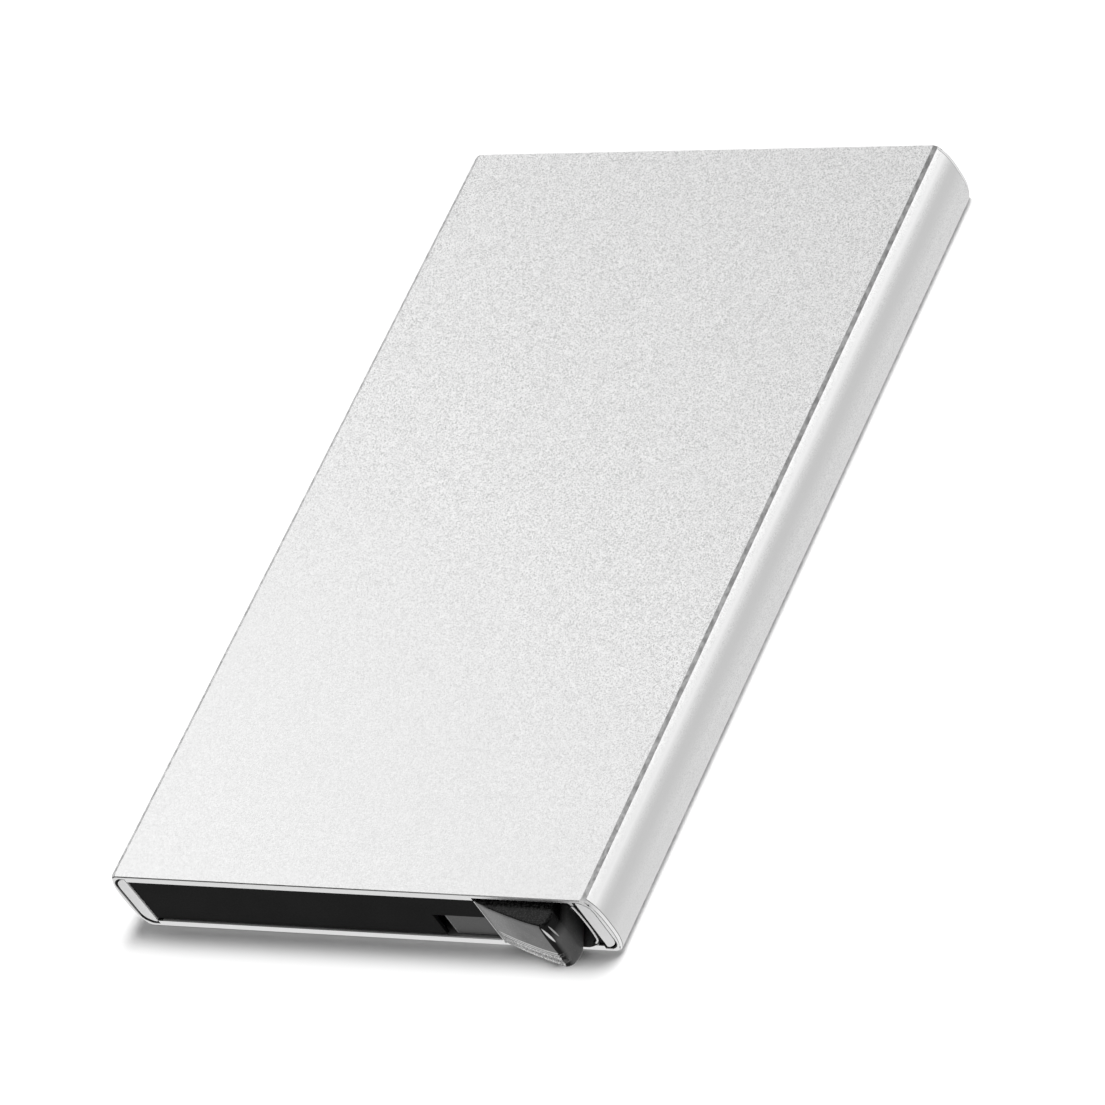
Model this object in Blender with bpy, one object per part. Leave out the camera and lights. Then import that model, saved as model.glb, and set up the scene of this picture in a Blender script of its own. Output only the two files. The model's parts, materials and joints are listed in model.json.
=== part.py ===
"""Pop-up card holder: an extruded sleeve with a spring-returned lever that fans the cards out.

Metres, +Z up. The holder lies on its rear face. +Y runs from the lever end to the mouth, where
the cards come out, +X is the side of the lever, and the front face looks along +Z. The origin is
the middle of the rear face.
"""

import math

import bmesh
import bpy
from mathutils import Matrix, Vector

# Card that the holder takes
CARD_WIDTH = 0.05398
CARD_LENGTH = 0.0856
CARD_SIDE_PLAY = 0.0003
CARD_RECESS = 0.002
# From the edge of a card to the outside of the sleeve, and from its foot to the lever end
CARD_SIDE_ROOM = 0.00451
MECHANISM_LENGTH = 0.0124

# Sleeve
SLEEVE_THICKNESS = 0.0085
SLEEVE_WALL = 0.00095
SIDE_BULGE = 0.0008
SIDE_CURVE_POWER = 3
SIDE_CURVE_STEPS = 16
FACET_WIDTH = 0.0005
FACET_DROP = 0.0002
# Channels for the rails along both sides, and the wall that they leave
CHANNEL_WALL = 0.00045
SIDE_WALL = 0.00065
CHANNEL_BULGE = 0.0012
CHANNEL_CURVE_POWER = 8
# Broken rims: over the faces, over the sides, and into the cavity
RIM_BREAK = 0.0001
RIM_SIDE_BREAK = 0.00015
RIM_SIDE_LENGTH = 0.00045
# The walls are thinner round the lever
RELIEF_DEPTH = 0.0064

# Clearances
SEAT_GAP = 0.00015
RUNNING_GAP = 0.0002
OVERRUN = 0.002
WELD = 0.000001

# Side rails and the friction strips that they carry
RAIL_DEPTH = 0.00165
RAIL_END_INSET = 0.0001
RAIL_LEAD_IN = 0.0006
STRIP_SEAT_DEPTH = 0.0005
STRIP_HEIGHT = 0.0044
STRIP_START = 0.008
STRIP_MOUTH_INSET = 0.0025
STRIP_TAPER = 0.003
STRIP_RIB_DEPTH = 0.0003
STRIP_RIBS = 5
STRIP_RIB_STEPS = 8
LATCH_PLACE = 0.009
LATCH_LENGTH = 0.0024
LATCH_HEIGHT = 0.003
LATCH_DEPTH = 0.0005

# End cap: the end plate and the tray behind it
END_RECESS = 0.0002
END_PLATE = 0.0014
TRAY_FLOOR = 0.00055
TRAY_WALL = 0.001
TRAY_EDGE_GAP = 0.0002
SLOT_LENGTH = 0.0071
SLOT_HEIGHT = 0.0028
POCKET_WIDTH = 0.01225
POCKET_SIDE_INSET = 0.00295
POCKET_BULGE = 0.00035
POCKET_CORNER = 0.0017
POCKET_FRONT_CORNER = 0.00025
POCKET_CORNER_START = 0.6
POCKET_CORNER_POWER = 2.5
POCKET_DEPTH = 0.0062
POCKET_STEPS = 24
PLATE_EDGE_BREAK = 0.00015
COLLAR_WALL = 0.0003
COLLAR_SIDE = 0.003
STOP_RIB_WIDTH = 0.0013
REST_RIB_FROM_TIP = 0.008
PRESS_STOP_TURN = math.radians(33)
PRESS_STOP_PLAY = 0.00005

# Cover of the mechanism and its screws
COVER_THICKNESS = 0.00065
BOSS_RADIUS = 0.0016
BOSS_INSET = 0.0042
MIDDLE_BOSS_SHARE = 0.41
BOSS_SIDE_INSET = 0.0029
RIGHT_BOSS_EDGE_INSET = 0.0028
SCREW_HEAD_RADIUS = 0.0011
SCREW_HEAD_HEIGHT = 0.0005
SCREW_SHANK_RADIUS = 0.0005
SCREW_LENGTH = 0.0038
SCREW_POINT = 0.0005
SCREW_SINK = 0.00005
SCREW_HOLE_PLAY = 0.0001
DRIVE_LENGTH = 0.0012
DRIVE_WIDTH = 0.0003
DRIVE_DEPTH = 0.00025

# Lever
PIVOT_FROM_POCKET = 0.0038
HUB_RADIUS = 0.0039
HUB_EDGE_GAP = 0.0003
BORE_PLAY = 0.00008
STEP_COUNT = 5
ARM_TIP_INSET = 0.00305
STEP_REACH = 0.006
ARM_CARD_GAP = 0.0006
ARM_TIP_HEIGHT = 0.002
ARM_ROOT_DROP = 0.002
ARM_ROOT_SHARE = 0.77
TIP_TOP_RADIUS = 0.0012
TIP_FOOT_RADIUS = 0.0005
WEB_OVERLAP = 0.0006
WEB_END = math.radians(-20)
SKIRT_END_GAP = 0.0011
SKIRT_FIN_GAP = 0.0003
SKIRT_RECESS = 0.0002
SKIRT_THICKNESS = 0.0011
SKIRT_CORNER = 0.0004
SKIRT_WALL_GAP = 0.00025
SKIRT_ROOM_TURN = math.radians(5)
STEM_TOP_GAP = 0.0002

# Thumb cap, from the left end of the pocket
FIN_END_GAP = 0.00175
FIN_REACH = 0.0031
FIN_REAR_GAP = 0.00025
FIN_FRONT_GAP = 0.0006
FIN_EDGE_RADIUS = 0.00035
FIN_EDGE_STEPS = 4
FIN_EDGE_FADE = 0.0025
FIN_RIBS = 3
FIN_RIB_DEPTH = 0.00008
FIN_RIB_SLOPE_SHARE = 0.6
FIN_LINE_HEIGHT = 0.0016
FIN_LINE_WIDTH = 0.00035
FIN_LINES = 2
HEAD_DEPTH = 0.0056
HEAD_LENGTH = 0.0078
HEAD_START = math.radians(-20)
HEAD_CORNER_RADIUS = 0.0006

# Pivot pin and return spring
PIN_RADIUS = 0.001
PIN_FLANGE_RADIUS = 0.002
PIN_FLANGE_THICKNESS = 0.00025
SPRING_WIRE = 0.0005
SPRING_RADIUS = 0.002
SPRING_PITCH = 0.00095
SPRING_TURN_POINTS = 10
SPRING_ROOM = 0.0005
SPRING_TOP_ROOM = 0.0003
SPRING_FLOOR = 0.001
SPRING_TUBE_RADIUS = 0.0015
MOVING_LEG_LENGTH = 0.007
MOVING_LEG_LIFT = math.radians(25)
FIXED_LEG_LENGTH = 0.0054
LEG_ROOM = 0.0001
WINDOW_START = math.radians(-75)
WINDOW_END = math.radians(25)
SPRING_POST_RADIUS = 0.00055
SPRING_POST_END = 0.0004

# Smoothness of the round forms
ROUND_SIDES = 48
SMALL_ROUND_SIDES = 24
FILLET_STEPS = 6
ARC_STEPS = 20
SMOOTH_ANGLE = math.radians(35)

# Ramp of the thumb cap up to its crease: along its length, and how far it stands out of the end
FIN_RAMP_SHARES = (
    (0, 0),
    (0.1, 0.155),
    (0.225, 0.3),
    (0.36, 0.455),
    (0.52, 0.61),
    (0.64, 0.73),
    (0.75, 0.825),
    (0.82, 0.875),
    (0.893, 0.92),
)
# Rounded tip beyond the crease, in the same shares
FIN_TIP_SHARES = (
    (0.893, 0.92),
    (0.933, 0.877),
    (0.962, 0.781),
    (0.981, 0.629),
    (0.992, 0.452),
    (0.995, 0.252),
)
# Reach of the thumb cap at its front edge
FIN_FRONT_SHARE = 0.92
# Stem and tongue of the lever inside the cap: along the ramp's length, and outwards from the end
STEM_SHARES = ((0.02, -1), (0.26, -0.03), (0.79, 0.5), (0.864, 0.265), (0.71, -0.94), (0.164, -1.35))

sleeve_half = CARD_WIDTH / 2 + CARD_SIDE_ROOM
sleeve_length = CARD_RECESS + CARD_LENGTH + MECHANISM_LENGTH
lever_end = -sleeve_length / 2
mouth_end = sleeve_length / 2
middle_height = SLEEVE_THICKNESS / 2
cavity_low = SLEEVE_WALL
cavity_high = SLEEVE_THICKNESS - SLEEVE_WALL
channel_low = CHANNEL_WALL
channel_high = SLEEVE_THICKNESS - CHANNEL_WALL
rail_face = sleeve_half - SIDE_WALL - RAIL_DEPTH
channel_step = rail_face - SEAT_GAP
card_base = mouth_end - CARD_RECESS - CARD_LENGTH

tray_half = channel_step
tray_low = cavity_low + SEAT_GAP
floor_top = tray_low + TRAY_FLOOR
tray_edge = card_base - TRAY_EDGE_GAP
plate_outside = lever_end + END_RECESS
plate_inside = plate_outside + END_PLATE
cover_high = cavity_high - SEAT_GAP
cover_low = cover_high - COVER_THICKNESS
tray_high = cover_low - SEAT_GAP
slot_high = floor_top + SLOT_HEIGHT
collar_low = channel_low + SEAT_GAP
collar_high = channel_high - SEAT_GAP

pocket_right = sleeve_half - POCKET_SIDE_INSET
pocket_left = pocket_right - POCKET_WIDTH
slot_left = pocket_left - SLOT_LENGTH
pivot = Vector((pocket_left - PIVOT_FROM_POCKET, tray_edge - HUB_EDGE_GAP - HUB_RADIUS, 0))
pivot_inset = pivot.y - lever_end
lever_low = floor_top + RUNNING_GAP
lever_high = cover_low - RUNNING_GAP
stem_high = slot_high - STEM_TOP_GAP
arm_top = card_base - ARM_CARD_GAP
arm_tip = ARM_TIP_INSET - tray_half
rest_stop = arm_tip + REST_RIB_FROM_TIP
skirt_face = plate_outside + SKIRT_RECESS
skirt_back = skirt_face + SKIRT_THICKNESS
skirt_low = cavity_low + SKIRT_WALL_GAP
skirt_left = slot_left + SKIRT_END_GAP
skirt_right = pocket_left - SKIRT_FIN_GAP
skirt_start = math.atan2(skirt_face - pivot.y, skirt_left - pivot.x)
skirt_swing = math.hypot(skirt_face - pivot.y, skirt_left - pivot.x)
stop_turn = skirt_start - PRESS_STOP_TURN
stop_way = Vector((math.cos(stop_turn), math.sin(stop_turn)))
press_stop = pivot.xy + stop_way * (skirt_swing + PRESS_STOP_PLAY)
web_radius = pivot.y - skirt_back + WEB_OVERLAP
fin_low = channel_low + FIN_REAR_GAP
fin_high = channel_high - FIN_FRONT_GAP
fin_length = POCKET_WIDTH - FIN_END_GAP
head_right = pocket_left + HEAD_LENGTH
head_radius = math.hypot(pocket_left - pivot.x, pivot_inset)

spring_floor = lever_low + SPRING_FLOOR
spring_low = spring_floor + LEG_ROOM + SPRING_WIRE / 2
spring_room = cover_low - SPRING_TOP_ROOM - SPRING_WIRE / 2 - spring_low
spring_turns = int(spring_room / SPRING_PITCH)
spring_high = spring_low + spring_turns * SPRING_PITCH

middle_boss = rest_stop + (press_stop.x - rest_stop) * MIDDLE_BOSS_SHARE
screw_places = {
    "cover_screw_left": (BOSS_SIDE_INSET - tray_half, lever_end + BOSS_INSET),
    "cover_screw_middle": (middle_boss, lever_end + BOSS_INSET),
    "cover_screw_right": (tray_half - BOSS_SIDE_INSET, tray_edge - RIGHT_BOSS_EDGE_INSET),
}


def clear_scene():
    for old in list(bpy.data.objects):
        bpy.data.objects.remove(old)


def make_material(name, colour, roughness, metallic):
    material = bpy.data.materials.new(name)
    material.use_nodes = True
    shader = material.node_tree.nodes["Principled BSDF"]
    shader.inputs["Base Color"].default_value = (*colour, 1)
    shader.inputs["Roughness"].default_value = roughness
    shader.inputs["Metallic"].default_value = metallic
    return material


def object_from(name, shape):
    """An object from a bmesh, with its faces turned outwards."""
    bmesh.ops.recalc_face_normals(shape, faces=shape.faces)
    mesh = bpy.data.meshes.new(name)
    shape.to_mesh(mesh)
    shape.free()
    made = bpy.data.objects.new(name, mesh)
    bpy.context.scene.collection.objects.link(made)
    return made


def lofted(name, rings):
    """A solid through closed rings of equally many points, with a flat face at each end."""
    shape = bmesh.new()
    loops = [[shape.verts.new(point) for point in ring] for ring in rings]
    for near, far in zip(loops, loops[1:]):
        for i, corner in enumerate(near):
            shape.faces.new((near[i - 1], corner, far[i], far[i - 1]))
    shape.faces.new(loops[0])
    shape.faces.new(loops[-1])
    return object_from(name, shape)


def prism(name, outline, low, high):
    """An outline in X and Y, extruded along Z."""
    return lofted(name, [[(x, y, z) for x, y in outline] for z in (low, high)])


def bar(name, section, start, end):
    """A section in X and Z, extruded along Y."""
    return lofted(name, [[(x, y, z) for x, z in section] for y in (start, end)])


def block(name, low, high):
    outline = ((low[0], low[1]), (high[0], low[1]), (high[0], high[1]), (low[0], high[1]))
    return prism(name, outline, low[2], high[2])


def turned(name, profile, place, sides=ROUND_SIDES):
    """A profile of radius and height, from the axis to the axis, turned about Z."""
    shape = bmesh.new()
    rings = []
    for radius, height in profile:
        count = sides if radius else 1
        turns = [math.tau * i / sides for i in range(count)]
        ring = [
            (place[0] + radius * math.cos(turn), place[1] + radius * math.sin(turn), height)
            for turn in turns
        ]
        rings.append([shape.verts.new(point) for point in ring])
    for near, far in zip(rings, rings[1:]):
        for i in range(sides):
            corners = (near[i - 1 if len(near) > 1 else 0], near[i % len(near)])
            others = (far[i % len(far)], far[i - 1 if len(far) > 1 else 0])
            face = list(dict.fromkeys(corners + others))
            shape.faces.new(face)
    return object_from(name, shape)


def cylinder(name, place, radius, low, high, sides=ROUND_SIDES):
    return turned(name, ((0, low), (radius, low), (radius, high), (0, high)), place, sides)


def settle(made):
    """Replaces an object's mesh by the one that its modifiers give, without doubled points."""
    bpy.context.view_layer.update()
    graph = bpy.context.evaluated_depsgraph_get()
    mesh = bpy.data.meshes.new_from_object(made.evaluated_get(graph))
    shape = bmesh.new()
    shape.from_mesh(mesh)
    bmesh.ops.remove_doubles(shape, verts=shape.verts, dist=WELD)
    bmesh.ops.dissolve_degenerate(shape, edges=shape.edges, dist=WELD)
    shape.to_mesh(mesh)
    shape.free()
    made.modifiers.clear()
    made.data = mesh


def combine(made, operation, others):
    for other in others:
        change = made.modifiers.new(other.name, "BOOLEAN")
        change.operation = operation
        change.object = other
        settle(made)
        bpy.data.objects.remove(other)


def join(made, *others):
    combine(made, "UNION", others)


def cut(made, *others):
    combine(made, "DIFFERENCE", others)


def finish(made, name, material, origin=None):
    """Names a piece, shades it and puts its origin on its joint, if it has one."""
    made.name = name
    made.data.name = name
    if origin:
        made.data.transform(Matrix.Translation(-origin))
        made.location = origin
    made.data.shade_smooth()
    made.data.set_sharp_from_angle(angle=SMOOTH_ANGLE)
    made.data.materials.clear()
    made.data.materials.append(material)
    return made


def rounded(corners, steps=FILLET_STEPS):
    """An outline from (x, y, radius) corners, with each corner rounded by its radius."""
    outline = []
    for i, (x, y, radius) in enumerate(corners):
        here = Vector((x, y))
        back = Vector(corners[i - 1][:2]) - here
        ahead = Vector(corners[(i + 1) % len(corners)][:2]) - here
        if not radius:
            outline.append(tuple(here))
            continue
        half = back.angle(ahead) / 2
        inwards = (back.normalized() + ahead.normalized()).normalized()
        centre = here + inwards * radius / math.sin(half)
        first = here + back.normalized() * radius / math.tan(half) - centre
        last = here + ahead.normalized() * radius / math.tan(half) - centre
        turn = first.angle_signed(last)
        for step in range(steps + 1):
            arm = first.copy()
            arm.rotate(Matrix.Rotation(-turn * step / steps, 2))
            outline.append(tuple(centre + arm))
    return outline


def grown(outline, distance):
    """A convex outline, counter-clockwise, with each side moved outwards."""
    corners = [Vector(point) for point in outline]
    result = []
    for i, here in enumerate(corners):
        back = (here - corners[i - 1]).normalized()
        ahead = (corners[(i + 1) % len(corners)] - here).normalized()
        outward = Vector((back.y, -back.x)) + Vector((ahead.y, -ahead.x))
        reach = distance / math.cos(back.angle(ahead) / 2)
        result.append(tuple(here + outward.normalized() * reach))
    return result


def smooth_line(points, steps):
    """A smooth line led by points, as a cubic B-spline from the first to the last."""
    ends = [2 * Vector(points[0]) - Vector(points[1]), 2 * Vector(points[-1]) - Vector(points[-2])]
    known = [ends[0], *map(Vector, points), ends[1]]
    line = []
    for a, b, c, d in zip(known, known[1:], known[2:], known[3:]):
        for step in range(steps):
            t = step / steps
            near = (1 - t) ** 3 * a + (3 * t**3 - 6 * t**2 + 4) * b
            far = (1 + 3 * t + 3 * t**2 - 3 * t**3) * c + t**3 * d
            line.append(tuple((near + far) / 6))
    line.append(tuple(points[-1]))
    return line


def polar(radius, angle, centre=pivot):
    return centre[0] + radius * math.cos(angle), centre[1] + radius * math.sin(angle)


def arc(radius, start, end, steps=ARC_STEPS):
    """Points about the pivot, from one angle to another."""
    return [polar(radius, start + (end - start) * i / steps) for i in range(steps + 1)]


def side_curve(inset, low, high, bulge, power, steps):
    """Right side of a section, moved in, as points of X and Z from low to high."""
    points = []
    half = (high - low) / 2
    for i in range(steps + 1):
        share = math.sin(math.pi * (i / steps - 0.5))
        x = sleeve_half - inset - bulge * abs(share) ** power
        points.append((x, middle_height + half * share))
    return points


def outer_half(side_inset, face_inset):
    """Right half of the sleeve's outside, with a narrow facet along each long edge."""
    low = face_inset
    high = SLEEVE_THICKNESS - face_inset
    side = side_curve(
        side_inset,
        low + FACET_DROP,
        high - FACET_DROP,
        SIDE_BULGE,
        SIDE_CURVE_POWER,
        SIDE_CURVE_STEPS,
    )
    flat = [channel_step - FACET_WIDTH, channel_step, side[0][0] - FACET_WIDTH]
    return [(x, low) for x in flat] + side + [(x, high) for x in reversed(flat)]


def channel_side(gap):
    """Outer boundary of a rail channel, or of the rail with a gap all round."""
    return side_curve(
        SIDE_WALL + gap,
        channel_low + gap,
        channel_high - gap,
        CHANNEL_BULGE,
        CHANNEL_CURVE_POWER,
        SIDE_CURVE_STEPS + 2,
    )


def inner_half(wider):
    """Right half of the sleeve's inside: the cavity for the cards and the rail channel."""
    side = channel_side(-wider)
    step = channel_step - wider
    start = [(step, cavity_low - wider), (step, side[0][1])]
    return start + side + [(step, side[-1][1]), (step, cavity_high + wider)]


def mirrored(right):
    """A whole section from its right half."""
    return right + [(-x, z) for x, z in reversed(right)]


def lever_section(left, right, low, high):
    """Section round the lever in X and Z: straight at the left, curved at the right."""
    points = [(left, high), (left, low)]
    for i in range(POCKET_STEPS + 1):
        share = math.sin(math.pi * (i / POCKET_STEPS - 0.5))
        into = max(0, (abs(share) - POCKET_CORNER_START) / (1 - POCKET_CORNER_START))
        corner = POCKET_CORNER if share < 0 else POCKET_FRONT_CORNER
        inset = POCKET_BULGE * share**2 + corner * into**POCKET_CORNER_POWER
        points.append((right - inset, middle_height + (high - low) / 2 * share))
    return points


def make_sleeve(material):
    whole = mirrored(outer_half(0, 0))
    rim = mirrored(outer_half(RIM_SIDE_BREAK, RIM_BREAK))
    halfway = RIM_SIDE_BREAK * (1 - RIM_BREAK / RIM_SIDE_LENGTH)
    shoulder = mirrored(outer_half(halfway, 0))
    inside = mirrored(inner_half(0))
    inner_rim = mirrored(inner_half(RIM_BREAK))
    stations = (
        (rim, lever_end),
        (shoulder, lever_end + RIM_BREAK),
        (whole, lever_end + RIM_SIDE_LENGTH),
        (whole, mouth_end - RIM_SIDE_LENGTH),
        (shoulder, mouth_end - RIM_BREAK),
        (rim, mouth_end),
        (inner_rim, mouth_end),
        (inside, mouth_end - RIM_BREAK),
        (inside, lever_end + RIM_BREAK),
        (inner_rim, lever_end),
    )
    shape = bmesh.new()
    rings = [[shape.verts.new((x, y, z)) for x, z in section] for section, y in stations]
    for near, far in zip(rings, rings[1:] + rings[:1]):
        for i, corner in enumerate(near):
            shape.faces.new((near[i - 1], corner, far[i], far[i - 1]))
    sleeve = object_from("sleeve", shape)
    right = pocket_right + COLLAR_WALL + SEAT_GAP
    section = lever_section(pocket_left, right, channel_low, channel_high)
    cut(sleeve, bar("relief", section, lever_end - OVERRUN, lever_end + RELIEF_DEPTH))
    return finish(sleeve, "sleeve", material)


def make_rail(name, side, material):
    """D-section rail in one side of the sleeve, with a seat for its friction strip."""
    curve = channel_side(SEAT_GAP)
    section = [(rail_face, curve[0][1]), *curve, (rail_face, curve[-1][1])]
    start = lever_end + RAIL_END_INSET
    end = mouth_end - RAIL_END_INSET
    rail = bar(name, [(side * x, z) for x, z in section], start, end)
    inner = side * (rail_face - OVERRUN)
    seat_half = STRIP_HEIGHT / 2 + SEAT_GAP
    seat = block(
        "strip_seat",
        (inner, card_base + STRIP_START - SEAT_GAP, middle_height - seat_half),
        (
            side * (rail_face + STRIP_SEAT_DEPTH),
            mouth_end - STRIP_MOUTH_INSET + SEAT_GAP,
            middle_height + seat_half,
        ),
    )
    latch = lever_end + LATCH_PLACE
    latch_long = LATCH_LENGTH / 2 + SEAT_GAP
    latch_high = LATCH_HEIGHT / 2 + SEAT_GAP
    notch = block(
        "latch_notch",
        (inner, latch - latch_long, middle_height - latch_high),
        (
            side * (rail_face + LATCH_DEPTH),
            latch + latch_long,
            middle_height + latch_high,
        ),
    )
    lead = prism(
        "lead_in",
        (
            (side * (rail_face - RAIL_LEAD_IN), end - RAIL_LEAD_IN),
            (side * rail_face, end - RAIL_LEAD_IN),
            (side * (rail_face + RAIL_LEAD_IN), end),
            (side * (rail_face + RAIL_LEAD_IN), end + OVERRUN),
            (side * (rail_face - RAIL_LEAD_IN), end + OVERRUN),
        ),
        -OVERRUN,
        SLEEVE_THICKNESS + OVERRUN,
    )
    cut(rail, seat, notch, lead)
    return finish(rail, name, material)


def strip_section(side, stand_share):
    """Section of a friction strip: its back in the rail's seat, its ribbed face to the cards."""
    back = rail_face + STRIP_SEAT_DEPTH - SEAT_GAP
    face = CARD_WIDTH / 2 + CARD_SIDE_PLAY
    low = middle_height - STRIP_HEIGHT / 2
    steps = STRIP_RIBS * STRIP_RIB_STEPS
    section = [(side * back, low + STRIP_HEIGHT), (side * back, low)]
    for i in range(steps + 1):
        hollow = STRIP_RIB_DEPTH * (1 + math.cos(math.tau * i / STRIP_RIB_STEPS)) / 2
        stand = (rail_face - face - hollow) * stand_share
        section.append((side * (rail_face - stand), low + STRIP_HEIGHT * i / steps))
    return section


def make_friction_strip(name, side, material):
    start = card_base + STRIP_START
    end = mouth_end - STRIP_MOUTH_INSET
    low_share = STRIP_RIB_DEPTH / (rail_face - CARD_WIDTH / 2)
    stations = (
        (start, low_share),
        (start + STRIP_TAPER, 1),
        (end - STRIP_TAPER, 1),
        (end, low_share),
    )
    rings = [[(x, y, z) for x, z in strip_section(side, share)] for y, share in stations]
    return finish(lofted(name, rings), name, material)


def pocket_cutter():
    """Pocket for the thumb cap, with a broken edge in the end plate's outside."""
    stations = (
        (plate_outside - OVERRUN, PLATE_EDGE_BREAK),
        (plate_outside, PLATE_EDGE_BREAK),
        (plate_outside + PLATE_EDGE_BREAK, 0),
        (lever_end + POCKET_DEPTH, 0),
    )
    rings = []
    for y, wider in stations:
        left = pocket_left - wider
        section = lever_section(left, pocket_right + wider, channel_low, channel_high)
        rings.append([(x, y, z) for x, z in section])
    return lofted("pocket", rings)


def arm_foot(x):
    """Height in Y of the lower edge of the lever's arm at rest."""
    root_x = pivot.x - HUB_RADIUS * ARM_ROOT_SHARE
    root_y = pivot.y - ARM_ROOT_DROP
    tip_y = arm_top - ARM_TIP_HEIGHT
    return root_y + (tip_y - root_y) * (root_x - x) / (root_x - arm_tip)


def tray_ribs():
    """Walls, stops and bosses that stand on the tray's floor."""
    high = tray_high
    ribs = []
    for side in (-1, 1):
        outer = side * tray_half
        inner = side * (tray_half - TRAY_WALL)
        ribs.append(block("wall", (outer, plate_outside, tray_low), (inner, tray_edge, high)))
        latch = lever_end + LATCH_PLACE
        ribs.append(
            block(
                "latch",
                (inner, latch - LATCH_LENGTH / 2, middle_height - LATCH_HEIGHT / 2),
                (
                    side * (rail_face + LATCH_DEPTH - SEAT_GAP),
                    latch + LATCH_LENGTH / 2,
                    middle_height + LATCH_HEIGHT / 2,
                ),
            )
        )
    rest_top = arm_foot(rest_stop) - RUNNING_GAP
    ribs.append(
        block(
            "rest_stop",
            (rest_stop - STOP_RIB_WIDTH, plate_outside, tray_low),
            (rest_stop, rest_top, high),
        )
    )
    ribs.append(
        block(
            "press_stop",
            (press_stop.x - STOP_RIB_WIDTH, plate_outside, tray_low),
            (*press_stop, stem_high),
        )
    )
    for place in screw_places.values():
        ribs.append(cylinder("boss", place, BOSS_RADIUS, tray_low, high, SMALL_ROUND_SIDES))
    return ribs


def skirt_room():
    """Cutter for the room in the tray's floor and the end plate that the skirt swings through."""
    start = skirt_start - PRESS_STOP_TURN - SKIRT_ROOM_TURN
    end = WEB_END + SKIRT_ROOM_TURN
    outside = arc(skirt_swing + RUNNING_GAP, start, end)
    inside = arc(pivot.y - skirt_back - RUNNING_GAP, end, start)
    return prism("skirt_room", outside + inside, -OVERRUN, slot_high)


def make_end_cap(material):
    cap = block(
        "end_cap",
        (-tray_half, plate_outside, tray_low),
        (tray_half, tray_edge, floor_top),
    )
    plate = block(
        "plate",
        (-tray_half, plate_outside, tray_low),
        (tray_half, plate_inside, cover_high),
    )
    collar_left = pocket_right - COLLAR_SIDE
    collar_right = pocket_right + COLLAR_WALL
    collar = bar(
        "collar",
        lever_section(collar_left, collar_right, collar_low, collar_high),
        plate_outside,
        lever_end + POCKET_DEPTH,
    )
    join(cap, plate, collar)
    slot = block(
        "slot",
        (slot_left, plate_outside - OVERRUN, -OVERRUN),
        (pocket_left + OVERRUN, plate_inside + OVERRUN, slot_high),
    )
    cut(cap, skirt_room(), slot)
    join(cap, *tray_ribs())
    pin_hole = cylinder("pin_hole", pivot, PIN_RADIUS + BORE_PLAY, -OVERRUN, slot_high)
    flange_seat = cylinder(
        "flange_seat",
        pivot,
        PIN_FLANGE_RADIUS + SEAT_GAP,
        -OVERRUN,
        tray_low + PIN_FLANGE_THICKNESS + BORE_PLAY,
    )
    pilots = [
        cylinder(
            "pilot",
            place,
            SCREW_SHANK_RADIUS + SCREW_HOLE_PLAY,
            floor_top,
            cover_high + OVERRUN,
            SMALL_ROUND_SIDES,
        )
        for place in screw_places.values()
    ]
    cut(cap, pocket_cutter(), pin_hole, flange_seat, *pilots)
    return finish(cap, "end_cap", material)


def screw_profile(play):
    """Countersunk screw, or its hole with play all round, from the point to the head."""
    head_top = cover_high - SCREW_SINK
    head_low = head_top - SCREW_HEAD_HEIGHT
    point = head_top - SCREW_LENGTH
    return [
        (0, point),
        (SCREW_SHANK_RADIUS + play, point + SCREW_POINT),
        (SCREW_SHANK_RADIUS + play, head_low - play),
        (SCREW_HEAD_RADIUS + play, head_top - play),
    ]


def make_screw(name, place, material):
    profile = screw_profile(0)
    screw = turned(name, [*profile, (0, profile[-1][1])], place, SMALL_ROUND_SIDES)
    head_top = profile[-1][1]
    half_long = DRIVE_LENGTH / 2
    half_wide = DRIVE_WIDTH / 2
    slots = [
        block(
            "drive",
            (place[0] - x, place[1] - y, head_top - DRIVE_DEPTH),
            (place[0] + x, place[1] + y, head_top + OVERRUN),
        )
        for x, y in ((half_long, half_wide), (half_wide, half_long))
    ]
    cut(screw, *slots)
    return finish(screw, name, material)


def spring_post_place():
    """The post bears on the fixed leg of the spring from below, near the leg's end."""
    leg_y = pivot.y - SPRING_RADIUS
    x = pivot.x + FIXED_LEG_LENGTH - SPRING_POST_RADIUS - SPRING_WIRE / 2
    return x, leg_y - SPRING_WIRE / 2 - LEG_ROOM - SPRING_POST_RADIUS


def make_cover(material):
    foot = plate_inside + SEAT_GAP
    notch = lever_end + POCKET_DEPTH
    swing = head_radius - RUNNING_GAP
    swing_start = math.asin((foot - pivot.y) / swing)
    swing_end = math.asin((notch - pivot.y) / swing)
    outline = (
        (-tray_half, foot),
        *arc(swing, swing_start, swing_end),
        (tray_half, notch),
        (tray_half, tray_edge),
        (-tray_half, tray_edge),
    )
    cover = prism("mechanism_cover", outline, cover_low, cover_high)
    post = cylinder(
        "spring_post",
        spring_post_place(),
        SPRING_POST_RADIUS,
        stem_high + SPRING_POST_END,
        cover_high - COVER_THICKNESS / 2,
        SMALL_ROUND_SIDES,
    )
    join(cover, post)
    holes = []
    for place in screw_places.values():
        profile = screw_profile(SCREW_HOLE_PLAY)
        outer = profile[-1][0]
        profile += [(outer, cover_high + OVERRUN), (0, cover_high + OVERRUN)]
        holes.append(turned("screw_hole", profile, place, SMALL_ROUND_SIDES))
    low = cover_low - OVERRUN
    holes.append(cylinder("pin_hole", pivot, PIN_RADIUS + BORE_PLAY, low, cover_high + OVERRUN))
    cut(cover, *holes)
    return finish(cover, "mechanism_cover", material)


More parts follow.
